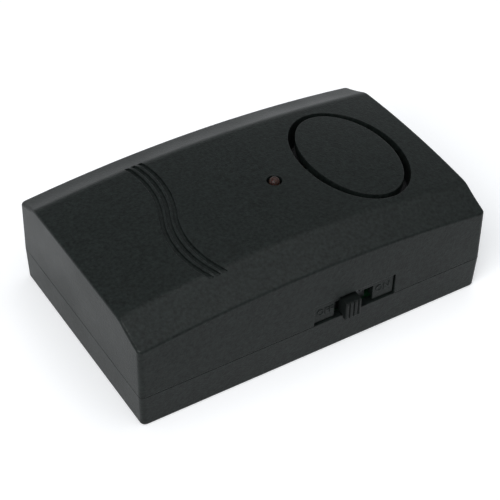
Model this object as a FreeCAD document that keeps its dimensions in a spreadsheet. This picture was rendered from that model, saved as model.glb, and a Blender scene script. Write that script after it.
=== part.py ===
"""Vibration alarm sensor: a matt black two-part box that screams when its door, window or
vehicle is shaken. Millimetres, origin at the middle of the underside, +X towards the siren,
-Y the face with the slide switch, +Z up."""
import FreeCAD, Part
import math
import os
import Sketcher

os.makedirs("parts", exist_ok=True)
doc = FreeCAD.newDocument("vibration_alarm")

# Driving dimensions
SIZES = {
    # case
    "case_length": 104.0,
    "case_width": 66.0,
    "parting_height": 10.2,
    "parting_gap": 0.12,
    "corner_radius": 1.4,
    "case_wall": 2.4,
    "floor_thickness": 3.2,
    "rib_inset": 8.0,
    "rib_pitch": 15.0,
    "rib_thickness": 1.2,
    "lower_draft": 0.35,
    "upper_draft": 0.35,
    "end_bulge": 0.55,
    "bottom_rounding": 0.5,
    "edge_rounding": 0.8,
    "lap_width": 1.1,
    "lap_height": 1.5,
    "lap_clearance": 0.15,
    # roof
    "shoulder_height": 25.7,
    "bevel_rise": 3.85,
    "bevel_width": 9.3,
    "bevel_hollow": 0.22,
    "arch_rise": 3.45,
    "crown_rise": 0.75,
    "roof_wall": 2.2,
    "crest_rounding": 6.0,
    # wavy decoration
    "wave_middle": -25.1,
    "wave_slope": 0.437,
    "wave_back_half": 30.0,
    "wave_front_half": 24.0,
    "wave_shift": 0.75,
    "wave_pitch": 1.95,
    "wave_end": 24.0,
    "wave_cut_width": 1.15,
    "wave_cut_depth": 0.65,
    # siren
    "siren_inset": 22.4,
    "siren_y": -0.7,
    "siren_half_x": 14.5,
    "siren_half_y": 20.3,
    "siren_slot": 2.15,
    "siren_slot_end": 1.6,
    "bridge_width": 3.0,
    "bridge_drop": 1.5,
    "collar_wall": 1.5,
    "chamber_floor": 1.4,
    "chamber_height": 22.6,
    "piezo_radius": 12.5,
    "piezo_thickness": 0.3,
    "ceramic_radius": 10.0,
    "ceramic_thickness": 0.3,
    "piezo_seat": 1.6,
    "seat_land": 0.7,
    # light
    "led_to_siren": 24.25,
    "led_inset": 2.35,
    "led_hole_radius": 2.1,
    "led_radius": 1.5,
    "led_flange_radius": 1.9,
    "led_body_height": 3.8,
    "led_rise": 0.9,
    "led_lead_gap": 2.54,
    "spacer_radius": 2.6,
    "spacer_bore": 1.8,
    # switch
    "window_left": -1.6,
    "window_right": 23.6,
    "window_height": 6.4,
    "window_depth": 0.5,
    "window_slit": 0.35,
    "window_ledge": 0.45,
    "slot_length": 12.0,
    "slot_middle": 10.8,
    "slot_height": 5.2,
    "notch_length": 6.0,
    "notch_height": 1.1,
    "knob_offset": -1.35,
    "knob_width": 4.8,
    "knob_height": 4.6,
    "knob_reach": 1.8,
    "knob_clearance": 0.3,
    "knob_rib": 0.5,
    "knob_rib_depth": 0.35,
    "knob_rib_pitch": 1.35,
    "knob_overhang": 0.9,
    "knob_rounding": 0.4,
    "knob_fit": 0.02,
    "stub_reach": 1.4,
    "switch_gap": 0.7,
    "switch_travel": 2.4,
    "switch_base": 0.8,
    "slider_length": 4.4,
    "slider_play": 0.1,
    "switch_length": 10.4,
    "switch_depth": 4.6,
    "switch_height": 5.0,
    "switch_sheet": 0.4,
    "slider_width": 2.0,
    "slider_height": 2.0,
    # board
    "board_end_gap": 10.5,
    "board_front_gap": 3.4,
    "board_back_gap": 0.5,
    "board_thickness": 1.6,
    "board_hole_radius": 1.2,
    "board_hole_inset": 3.0,
    "post_radius": 2.6,
    "post_pilot": 0.85,
    "board_screw_length": 6.0,
    "board_screw_head": 1.9,
    "board_screw_head_height": 1.2,
    "solder_reach": 1.2,
    "board_drop": 0.2,
    "leg_radius": 0.3,
    "lead_wire": 0.25,
    "leg_clearance": 0.1,
    "leg_pitch": 2.54,
    "part_rise": 0.3,
    "part_fit": 0.1,
    "chip_x": -7.0,
    "chip_row_y": 12.0,
    "chip_length": 9.6,
    "chip_width": 6.4,
    "chip_height": 3.3,
    "chip_rise": 0.5,
    "chip_row": 7.62,
    "coil_x": 23.0,
    "coil_row_y": 9.6,
    "coil_radius": 4.2,
    "coil_core_radius": 3.2,
    "coil_height": 9.5,
    "coil_flange": 1.2,
    "capacitor_x": -27.0,
    "capacitor_row_y": 6.6,
    "capacitor_radius": 3.15,
    "capacitor_height": 11.0,
    "capacitor_crimp": 0.3,
    "transistor_x": 12.5,
    "transistor_row_y": 14.6,
    "transistor_radius": 2.4,
    "transistor_height": 4.6,
    "transistor_flat": 1.2,
    "transistor_rise": 3.0,
    "resistor_x": -18.0,
    "resistor_row_y": 1.6,
    "resistor_pitch": 2.7,
    "resistor_length": 6.0,
    "resistor_radius": 1.1,
    "resistor_span": 9.5,
    "sensor_x": -27.0,
    "sensor_row_y": 19.6,
    "sensor_radius": 3.2,
    "sensor_base": 1.5,
    "sensor_cover": 10.0,
    "sensor_wall": 0.5,
    "spring_radius": 1.8,
    "spring_wire": 0.2,
    "spring_pitch": 1.6,
    "spring_height": 7.3,
    # battery
    "battery_length": 46.0,
    "battery_width": 26.5,
    "battery_height": 17.5,
    "battery_end_gap": 3.8,
    "battery_back_gap": 3.55,
    "battery_rounding": 2.0,
    "can_room_rounding": 1.6,
    "terminal_height": 2.6,
    "terminal_radius": 2.9,
    "terminal_gap": 12.95,
    "bay_wall": 1.4,
    "bay_clearance": 0.35,
    "bay_height": 8.5,
    "snap_thickness": 3.4,
    "snap_width": 25.0,
    "snap_height": 12.6,
    "snap_gap": 0.3,
    "snap_rounding": 3.0,
    "crown_radius": 4.1,
    "end_plate": 1.0,
    "can_sheet": 0.4,
    "cell_count": 6,
    "cell_gap": 0.3,
    "bay_wire_room": 2.4,
    "lead_height": 15.0,
    "lead_inset": 5.0,
    "lead_bend": 3.5,
    "wire_gap": 1.8,
    "siren_wire_gap": 3.0,
    "siren_wire_back": 5.0,
    "siren_wire_aside": 3.0,
    "siren_wire_drop": 5.0,
    "siren_wire_rise": 4.0,
    "siren_wire_bend": 4.0,
    "wire_radius": 0.7,
    # battery door
    "door_clearance": 0.3,
    "door_play": 0.2,
    "door_lip": 1.2,
    "door_runner": 1.2,
    "door_runner_height": 0.8,
    "door_raise": 0.3,
    "grip_width": 1.0,
    "grip_pitch": 2.2,
    "grip_length": 14.0,
    "grip_depth": 0.4,
    # case screws
    "screw_inset_x": 6.1,
    "screw_inset_y": 6.1,
    "well_boss_radius": 3.8,
    "screw_bay_gap": 0.4,
    "boss_radius": 3.2,
    "screw_hole": 1.6,
    "screw_head_radius": 2.3,
    "screw_head_height": 1.8,
    "screw_well": 5.0,
    "screw_well_radius": 2.6,
    "screw_radius": 1.25,
    "screw_length": 13.0,
    "screw_tip": 1.5,
    "screw_clearance": 0.05,
    "cross_width": 0.5,
    "cross_depth": 0.8,
}

sheet = doc.addObject("Spreadsheet::Sheet", "Sizes")
for row, (alias, value) in enumerate(SIZES.items(), start=1):
    sheet.set(f"A{row}", alias.replace("_", " "))
    sheet.set(f"B{row}", str(value))
    sheet.setAlias(f"B{row}", alias)
doc.recompute()


def size(alias):
    """The present value of one driving dimension."""
    return float(sheet.get(alias))


# Small construction helpers
def place(obj, x="0", y="0", z="0"):
    """Bind an object's position to formulas of the driving dimensions."""
    for axis, formula in zip("xyz", (x, y, z)):
        obj.setExpression(f"Placement.Base.{axis}", formula)
    return obj


def box(name, low, lengths):
    """A block from its lowest corner and its three lengths, all formulas."""
    obj = doc.addObject("Part::Box", name)
    for prop, formula in zip(("Length", "Width", "Height"), lengths):
        obj.setExpression(prop, formula)
    return place(obj, *low)


def span_box(name, x_span, y_span, z_span):
    """A block given by its low and high limit along each axis, all formulas."""
    spans = (x_span, y_span, z_span)
    lows = [low for low, high in spans]
    lengths = [f"({high}) - ({low})" for low, high in spans]
    return box(name, lows, lengths)


TURNS = {
    "Z": FreeCAD.Rotation(),
    "-Z": FreeCAD.Rotation(FreeCAD.Vector(1, 0, 0), 180),
    "X": FreeCAD.Rotation(FreeCAD.Vector(0, 1, 0), 90),
    "-X": FreeCAD.Rotation(FreeCAD.Vector(0, 1, 0), -90),
    "Y": FreeCAD.Rotation(FreeCAD.Vector(1, 0, 0), -90),
    "-Y": FreeCAD.Rotation(FreeCAD.Vector(1, 0, 0), 90),
}


def cylinder(name, base, radius, height, axis="Z"):
    """A cylinder that stands on its base centre and runs along an axis."""
    obj = doc.addObject("Part::Cylinder", name)
    obj.setExpression("Radius", radius)
    obj.setExpression("Height", height)
    obj.Placement.Rotation = TURNS[axis]
    return place(obj, *base)


def cone(name, base, radius_low, radius_high, height, axis="Z"):
    """A cone frustum that stands on its base centre and runs along an axis."""
    obj = doc.addObject("Part::Cone", name)
    obj.setExpression("Radius1", radius_low)
    obj.setExpression("Radius2", radius_high)
    obj.setExpression("Height", height)
    obj.Placement.Rotation = TURNS[axis]
    return place(obj, *base)


def fuse(name, pieces):
    """One solid from pieces that meet or overlap."""
    obj = doc.addObject("Part::MultiFuse", name)
    obj.Shapes = pieces
    obj.Refine = True
    return obj


def cut(name, base, tool):
    """The base with the tool taken away."""
    obj = doc.addObject("Part::Cut", name)
    obj.Base = base
    obj.Tool = tool
    obj.Refine = True
    return obj


def common(name, first, second):
    """What two solids share."""
    obj = doc.addObject("Part::Common", name)
    obj.Base = first
    obj.Tool = second
    obj.Refine = True
    return obj


def group(name, pieces):
    """Several separate solids kept as one named sub-part."""
    obj = doc.addObject("Part::Compound", name)
    obj.Links = pieces
    return obj


def rounded(name, base, radius, choose):
    """The base with a fillet on every edge that the chooser picks."""
    doc.recompute()
    picked = [i for i, edge in enumerate(base.Shape.Edges, start=1) if choose(edge)]
    obj = doc.addObject("Part::Fillet", name)
    obj.Base = base
    value = size(radius)
    obj.Edges = [(i, value, value) for i in picked]
    return obj


def smooth(shape, edge):
    """Whether the two faces at an edge already meet at a shared tangent."""
    middle = edge.valueAt((edge.FirstParameter + edge.LastParameter) / 2)
    normals = []
    for face in shape.ancestorsOfType(edge, Part.Face):
        normals.append(face.normalAt(*face.Surface.parameter(middle)))
    return len(normals) == 2 and normals[0].getAngle(normals[1]) < math.radians(3)


def origin_plane(body, role):
    """One of a body's own origin planes."""
    return [feature for feature in body.Origin.OriginFeatures if feature.Role == role][0]


def new_sketch(body, name, role, offset="0"):
    """An empty sketch on a body's own origin plane, moved along its normal."""
    sketch = body.newObject("Sketcher::SketchObject", name)
    sketch.AttachmentSupport = [(origin_plane(body, role), "")]
    sketch.MapMode = "FlatFace"
    sketch.setExpression("AttachmentOffset.Base.z", offset)
    return sketch


def value_of(formula):
    """The present value of a formula of the driving dimensions."""
    probe = doc.addObject("Part::Plane", "probe")
    probe.setExpression("Placement.Base.x", formula)
    probe.recompute()
    result = probe.Placement.Base.x
    doc.removeObject(probe.Name)
    return result


def outline(sketch, corners, arcs=None):
    """Draw a closed outline through corners given as formula pairs.

    arcs maps the number of a side to (radius formula, middle point): that side is an arc."""
    arcs = arcs or {}
    points = [FreeCAD.Vector(value_of(x), value_of(y), 0) for x, y in corners]
    count = len(points)
    for i in range(count):
        start, end = points[i], points[(i + 1) % count]
        if i in arcs:
            sketch.addGeometry(Part.Arc(start, FreeCAD.Vector(*arcs[i][1], 0), end))
        else:
            sketch.addGeometry(Part.LineSegment(start, end))
    turned = set()
    for i in range(count):
        first = sketch.getPoint(i, 1)
        if (first - points[i]).Length > 1e-6:
            turned.add(i)
    for i in range(count):
        after = (i + 1) % count
        end = 1 if i in turned else 2
        start = 2 if after in turned else 1
        sketch.addConstraint(Sketcher.Constraint("Coincident", i, end, after, start))
    for i, (x, y) in enumerate(corners):
        start = 2 if i in turned else 1
        for kind, formula, now in (("DistanceX", x, points[i].x), ("DistanceY", y, points[i].y)):
            number = sketch.addConstraint(Sketcher.Constraint(kind, -1, 1, i, start, now))
            sketch.setExpression(f"Constraints[{number}]", formula)
    for i, (radius, middle) in arcs.items():
        number = sketch.addConstraint(Sketcher.Constraint("Radius", i, value_of(radius)))
        sketch.setExpression(f"Constraints[{number}]", radius)
    return sketch


def oval(name, middle, half_x, half_y, z_span):
    """An upright oval prism, longer along Y than along X."""
    ring = doc.addObject("Part::Ellipse", name + "_curve")
    ring.setExpression("MajorRadius", half_y)
    ring.setExpression("MinorRadius", half_x)
    ring.Placement.Rotation = FreeCAD.Rotation(FreeCAD.Vector(0, 0, 1), 90)
    place(ring, middle[0], middle[1], z_span[0])
    obj = doc.addObject("Part::Extrusion", name)
    obj.Base = ring
    obj.DirMode = "Custom"
    obj.Dir = FreeCAD.Vector(0, 0, 1)
    obj.setExpression("LengthFwd", f"({z_span[1]}) - ({z_span[0]})")
    obj.Solid = True
    return obj


def plan_sketch(body, name, height, half_x, half_y, radius, bulge=None):
    """A rounded rectangle at a height; with a bulge its two short ends are shallow arcs."""
    x, y, r = f"({half_x})", f"({half_y})", f"({radius})"
    corners = [
        (f"{x} - {r}", f"-{y}"), (x, f"{r} - {y}"), (x, f"{y} - {r}"), (f"{x} - {r}", y),
        (f"{r} - {x}", y), (f"-{x}", f"{y} - {r}"), (f"-{x}", f"{r} - {y}"), (f"{r} - {x}", f"-{y}"),
    ]
    reach_x, reach_y, turn = value_of(x), value_of(y), value_of(r)
    mid = turn * (1 - math.cos(math.pi / 4))
    arcs = {
        0: (radius, (reach_x - mid, mid - reach_y)), 2: (radius, (reach_x - mid, reach_y - mid)),
        4: (radius, (mid - reach_x, reach_y - mid)), 6: (radius, (mid - reach_x, mid - reach_y)),
    }
    if bulge:
        bend = f"(({y} - {r}) ^ 2 + {bulge} ^ 2) / (2 * {bulge})"
        arcs[1] = (bend, (reach_x + value_of(bulge), 0))
        arcs[5] = (bend, (-reach_x - value_of(bulge), 0))
    return outline(new_sketch(body, name, "XY_Plane", height), corners, arcs)


def drafted_block(name, z_span, low, high, radius="Sizes.corner_radius", bulge=None):
    """A block whose plan is a rounded rectangle that changes evenly from its low to its high end."""
    body = doc.addObject("PartDesign::Body", name)
    foot = plan_sketch(body, name + "_foot", z_span[0], *low, radius)
    head = plan_sketch(body, name + "_head", z_span[1], *high, radius, bulge)
    loft = body.newObject("PartDesign::AdditiveLoft", name + "_loft")
    loft.Profile = foot
    loft.Sections = [head]
    loft.Ruled = True
    return body


# Places that several sub-parts share
HALF_X = "Sizes.case_length / 2"
HALF_Y = "Sizes.case_width / 2"
PART_Z = "Sizes.parting_height"
COVER_Z = "(Sizes.parting_height + Sizes.parting_gap)"
TOP_Z = "(Sizes.shoulder_height + Sizes.bevel_rise + Sizes.arch_rise)"
ARCH_RADIUS = f"((({HALF_X}) ^ 2 + Sizes.arch_rise ^ 2) / (2 * Sizes.arch_rise))"
FLAT_HALF = f"({HALF_Y} - Sizes.upper_draft - Sizes.bevel_width)"
LOFT_TOP = f"({TOP_Z} + Sizes.crown_rise + 1)"
SHOULDER_MID = "(Sizes.shoulder_height + Sizes.arch_rise)"
# inward lean of the cover's long sides for each millimetre of height
LEAN = f"(Sizes.upper_draft / ({SHOULDER_MID} - {COVER_Z}))"


def roof(name, drop, crowned=True):
    """Everything under the arched and bevelled roof, lowered by a drop.

    The profile across the case is turned about a far axis below it, which gives the arch.
    The outside is also a little crowned between its bevels, which are a little hollow, and the
    inside is plain."""
    body = doc.addObject("PartDesign::Body", name)
    sketch = new_sketch(body, name + "_profile", "YZ_Plane")
    edge = f"({HALF_Y} + 0.5)"
    eave = f"({SHOULDER_MID} - ({edge} - {FLAT_HALF} - Sizes.bevel_width) * Sizes.bevel_rise"
    eave += f" / Sizes.bevel_width - {drop})"
    ridge = f"({TOP_Z} - {drop})"
    corners = [(f"-{edge}", "0"), (edge, "0"), (edge, eave), (FLAT_HALF, ridge),
               (f"-{FLAT_HALF}", ridge), (f"-{edge}", eave)]
    arcs = {}
    if crowned:
        crown = f"({FLAT_HALF} ^ 2 + Sizes.crown_rise ^ 2) / (2 * Sizes.crown_rise)"
        arcs[3] = (crown, (0, value_of(ridge) + size("crown_rise")))
        across, down = f"({edge} - {FLAT_HALF})", f"({ridge} - {eave})"
        hollow = "Sizes.bevel_hollow"
        cove = f"({across} ^ 2 + {down} ^ 2 + 4 * {hollow} ^ 2) / (8 * {hollow})"
        lean = math.atan2(value_of(down), value_of(across))
        middle_y = value_of(f"({edge} + {FLAT_HALF}) / 2") - size("bevel_hollow") * math.sin(lean)
        middle_z = value_of(f"({ridge} + {eave}) / 2") - size("bevel_hollow") * math.cos(lean)
        arcs[2] = (cove, (middle_y, middle_z))
        arcs[4] = (cove, (-middle_y, middle_z))
    outline(sketch, corners, arcs)
    axis_z = f"({TOP_Z} - {ARCH_RADIUS})"
    low = value_of(axis_z)
    reach = size("corner_radius")
    axis = sketch.addGeometry(
        Part.LineSegment(FreeCAD.Vector(0, low, 0), FreeCAD.Vector(reach, low, 0)), True)
    sketch.addConstraint(Sketcher.Constraint("Horizontal", axis))
    sketch.addConstraint(Sketcher.Constraint("DistanceX", -1, 1, axis, 2, reach))
    sketch.addConstraint(Sketcher.Constraint("DistanceX", -1, 1, axis, 1, 0))
    number = sketch.addConstraint(Sketcher.Constraint("DistanceY", -1, 1, axis, 1, low))
    sketch.setExpression(f"Constraints[{number}]", axis_z)
    turn = body.newObject("PartDesign::Revolution", name + "_arch")
    turn.Profile = sketch
    turn.ReferenceAxis = (sketch, ["Axis0"])
    turn.Midplane = True
    turn.setExpression("Angle", f"2 * asin(({HALF_X} + 6) / {ARCH_RADIUS})")
    return body


def wave_bands():
    """Three upright bands along an S of two arcs that meet at a shared tangent."""
    bands = []
    for number in (-1, 0, 1):
        middle = f"(Sizes.wave_middle + {number} * Sizes.wave_pitch)"
        for side, label in ((1, "back"), (-1, "front")):
            name = f"wave_{label}_{number + 2}"
            chord = f"Sizes.wave_{label}_half"
            swing = f"({chord} * Sizes.wave_slope / 4)"
            bend = f"(({chord} ^ 2 + 4 * {swing} ^ 2) / (8 * {swing}))"
            centre_x = f"{middle} + {side} * ({swing} - {bend})"
            centre_y = f"Sizes.wave_shift + {side} * {chord} / 2"
            base = (centre_x, centre_y, "20")
            wide = cylinder(name + "_outside", base, f"{bend} + Sizes.wave_cut_width / 2", "20")
            narrow = cylinder(name + "_inside", base, f"{bend} - Sizes.wave_cut_width / 2", "20")
            ring = cut(name + "_ring", wide, narrow)
            if side > 0:
                span = ("Sizes.wave_shift", "Sizes.wave_end")
            else:
                span = ("-Sizes.wave_end", "Sizes.wave_shift")
            reach = f"{middle} - 2 * {swing}", f"{middle} + 2 * {swing}"
            bands.append(common(name, ring, span_box(name + "_reach", reach, span, ("20", "40"))))
    return fuse("wave_bands", bands)


def boss_places():
    """Where the four case screws stand: three corners, and beside the battery bay."""
    x = f"({HALF_X} - Sizes.screw_inset_x)"
    y = f"({HALF_Y} - Sizes.screw_inset_y)"
    beside_bay = f"({BAY_RIGHT} + Sizes.bay_wall + Sizes.well_boss_radius + Sizes.screw_bay_gap)"
    return [(f"-{x}", f"-{y}"), (x, f"-{y}"), (x, y), (beside_bay, y)]


# Battery and its bay
BATTERY_LEFT = f"(Sizes.battery_end_gap - {HALF_X})"
BATTERY_BACK = f"({HALF_Y} - Sizes.battery_back_gap)"
BATTERY_FRONT = f"({BATTERY_BACK} - Sizes.battery_width)"
BATTERY_MIDDLE = f"({BATTERY_BACK} - Sizes.battery_width / 2)"
BATTERY_END = f"({BATTERY_LEFT} + Sizes.battery_length)"
DOOR_TOP = "(Sizes.door_lip + Sizes.door_play + Sizes.door_runner_height)"
BATTERY_LOW = f"({DOOR_TOP} + Sizes.door_clearance)"
BATTERY_TOP = f"({BATTERY_LOW} + Sizes.battery_height)"
BATTERY_MID_Z = f"({BATTERY_LOW} + Sizes.battery_height / 2)"
SNAP_LEFT = f"({BATTERY_END} + Sizes.snap_gap)"
SNAP_RIGHT = f"({SNAP_LEFT} + Sizes.snap_thickness)"
SNAP_FRONT = f"({BATTERY_MIDDLE} - Sizes.snap_width / 2)"
BAY_LEFT = f"({BATTERY_LEFT} - Sizes.bay_clearance)"
BAY_RIGHT = f"({SNAP_RIGHT} + Sizes.bay_wire_room)"
BAY_FRONT = f"({BATTERY_FRONT} - Sizes.bay_clearance)"
BAY_BACK = f"({BATTERY_BACK} + Sizes.bay_clearance)"

# Board and what stands on it
BOARD_HALF = f"({HALF_X} - Sizes.board_end_gap)"
BOARD_FRONT = f"(Sizes.board_front_gap - {HALF_Y})"
BOARD_BACK = f"({BAY_FRONT} - Sizes.bay_wall - Sizes.board_back_gap)"
BOARD_TOP = f"({COVER_Z} - Sizes.board_drop)"
BOARD_LOW = f"({BOARD_TOP} - Sizes.board_thickness)"
CHIP_Y = f"({BOARD_FRONT} + Sizes.chip_row_y)"
COIL_Y = f"({BOARD_FRONT} + Sizes.coil_row_y)"
CAPACITOR_Y = f"({BOARD_FRONT} + Sizes.capacitor_row_y)"
TRANSISTOR_Y = f"({BOARD_FRONT} + Sizes.transistor_row_y)"
RESISTOR_Y = f"({BOARD_FRONT} + Sizes.resistor_row_y)"
SENSOR_Y = f"({BOARD_FRONT} + Sizes.sensor_row_y)"
LED_Y = f"({BOARD_BACK} - Sizes.led_inset)"
KNOB_X = "(Sizes.slot_middle + Sizes.knob_offset)"
KNOB_LOW = f"({COVER_Z} + Sizes.knob_clearance)"
KNOB_TOP = f"({KNOB_LOW} + Sizes.knob_height)"
KNOB_MID_Z = f"({KNOB_LOW} + Sizes.knob_height / 2)"
WALL_INSIDE = f"(Sizes.case_wall - {HALF_Y})"

# Siren
CHAMBER_TOP = "(Sizes.chamber_height + Sizes.chamber_floor)"
SEAT_TOP = f"({CHAMBER_TOP} + Sizes.piezo_seat)"
SIREN_X = f"({HALF_X} - Sizes.siren_inset)"
SIREN = (SIREN_X, "Sizes.siren_y")
LED_X = f"({SIREN_X} - Sizes.led_to_siren)"


def upper_shell():
    """The cover: one moulding with wall, lap rebate, bosses, siren collar and battery ribs."""
    high_y = f"{HALF_Y} - ({LOFT_TOP} - {COVER_Z}) * {LEAN}"
    plan = drafted_block("cover_plan", (COVER_Z, LOFT_TOP), (HALF_X, HALF_Y), (HALF_X, high_y),
                         bulge="Sizes.end_bulge")
    crest_y = value_of(FLAT_HALF)
    eased = rounded("cover_crests", common("cover_block", plan, roof("roof_outside", "0")), "crest_rounding",
                    lambda edge: edge.BoundBox.XLength > size("case_length") - 2
                    and abs(abs(edge.CenterOfMass.y) - crest_y) < 0.1)
    outside = rounded("cover_outside", eased, "edge_rounding",
                      lambda edge: edge.BoundBox.ZMin > size("parting_height") + 1
                      and not smooth(eased.Shape, edge))
    wall = "Sizes.case_wall"
    plan_in = drafted_block("cover_room_plan", (f"{COVER_Z} - 1", LOFT_TOP),
                            (f"{HALF_X} - {wall}", f"{HALF_Y} - {wall}"),
                            (f"{HALF_X} - {wall}", f"{high_y} - {wall}"), bulge="Sizes.end_bulge")
    room = common("cover_room", plan_in, roof("roof_inside", "Sizes.roof_wall", crowned=False))
    hollow = cut("cover_hollow", outside, room)

    extras = []
    for number, (x, y) in enumerate(boss_places(), start=1):
        extras.append(cylinder(f"cover_boss_{number}", (x, y, COVER_Z), "Sizes.boss_radius", "24"))
    collar = cut("collar",
                 oval("collar_outside", SIREN, "Sizes.siren_half_x + Sizes.collar_wall",
                      "Sizes.siren_half_y + Sizes.collar_wall", (CHAMBER_TOP, "40")),
                 oval("collar_inside", SIREN, "Sizes.siren_half_x", "Sizes.siren_half_y",
                      (CHAMBER_TOP, "40")))
    extras.append(collar)
    for number in range(3):
        x = f"{BAY_LEFT} + Sizes.rib_inset + {number} * Sizes.rib_pitch"
        extras.append(span_box(f"battery_rib_{number + 1}", (x, f"{x} + Sizes.rib_thickness"),
                               (BATTERY_FRONT, BATTERY_BACK),
                               (f"{BATTERY_TOP} + Sizes.bay_clearance", "34")))
    inner_parts = common("cover_inner_parts", fuse("cover_extras", extras),
                         roof("roof_core", "Sizes.roof_wall / 2", crowned=False))
    solid = fuse("cover_solid", [hollow, inner_parts])

    tools = []
    # lap rebate inside the rim
    lap_z = (f"{COVER_Z} - 1", f"{PART_Z} + Sizes.lap_height + Sizes.lap_clearance")
    lap = "Sizes.lap_width"
    inner_lap = "(Sizes.case_wall + Sizes.lap_clearance)"
    tools.append(cut("rebate",
                     drafted_block("rebate_outside", lap_z, (f"{HALF_X} - {lap}", f"{HALF_Y} - {lap}"),
                                   (f"{HALF_X} - {lap}", f"{HALF_Y} - {lap}"), "1"),
                     drafted_block("rebate_inside", lap_z,
                                   (f"{HALF_X} - {inner_lap}", f"{HALF_Y} - {inner_lap}"),
                                   (f"{HALF_X} - {inner_lap}", f"{HALF_Y} - {inner_lap}"), "0.5")))
    # pilot holes for the case screws
    for number, (x, y) in enumerate(boss_places(), start=1):
        depth = "Sizes.screw_length - (Sizes.parting_height - Sizes.screw_well) + 1"
        tools.append(cylinder(f"pilot_{number}", (x, y, f"{COVER_Z} - 1"),
                              "Sizes.screw_radius + Sizes.screw_clearance", f"{depth} + 1"))
    # oval sound slot, crossed by four sunk bridges
    slot_z = ("20", "40")
    ring = cut("slot_ring",
               oval("slot_outside", SIREN, "Sizes.siren_half_x", "Sizes.siren_half_y", slot_z),
               oval("slot_inside", SIREN, "Sizes.siren_half_x - Sizes.siren_slot",
                    "Sizes.siren_half_y - Sizes.siren_slot_end", slot_z))
    half = "Sizes.bridge_width / 2"
    along_x = span_box("bridge_x", (f"{SIREN_X} - 20", f"{SIREN_X} + 20"),
                       (f"Sizes.siren_y - {half}", f"Sizes.siren_y + {half}"), slot_z)
    along_y = span_box("bridge_y", (f"{SIREN_X} - {half}", f"{SIREN_X} + {half}"),
                       ("Sizes.siren_y - 25", "Sizes.siren_y + 25"), slot_z)
    kept = common("bridges", fuse("bridge_cross", [along_x, along_y]),
                  roof("roof_bridge", "Sizes.bridge_drop", crowned=False))
    tools.append(cut("sound_slot", ring, kept))
    # hole for the light
    tools.append(cylinder("light_hole", (LED_X, LED_Y, "20"), "Sizes.led_hole_radius", "20"))
    # wavy grooves whose floor follows the roof
    tools.append(cut("waves", wave_bands(), roof("roof_wave", "Sizes.wave_cut_depth")))
    # switch window: a shallow sunk field, a slit beside and below its pads, the knob's slot and notch
    left, right = "Sizes.window_left", "Sizes.window_right"
    low = f"{COVER_Z} - 1"
    through = (f"-{HALF_Y} - 1", f"{WALL_INSIDE} + 1")
    top = f"{COVER_Z} + Sizes.window_height"
    ledge = f"{COVER_Z} + Sizes.window_ledge"
    slit = "Sizes.window_slit"
    tools.append(span_box("window_field", (left, right),
                          (f"-{HALF_Y} - 1", f"-{HALF_Y} + Sizes.window_depth"), (low, top)))
    tools.append(span_box("window_slit_right", (f"{right} - {slit}", right), through, (low, top)))
    tools.append(span_box("window_gap", (left, right), through, (low, ledge)))
    reach = "Sizes.slot_length / 2"
    slot_top = f"{COVER_Z} + Sizes.slot_height"
    tools.append(span_box("knob_slot", (f"Sizes.slot_middle - {reach}", f"Sizes.slot_middle + {reach}"),
                          through, (low, slot_top)))
    reach = "Sizes.notch_length / 2"
    tools.append(span_box("knob_notch", (f"{KNOB_X} - {reach}", f"{KNOB_X} + {reach}"), through,
                          (low, f"{slot_top} + Sizes.notch_height")))
    return cut("upper_shell", solid, fuse("cover_cuts", tools))


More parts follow.
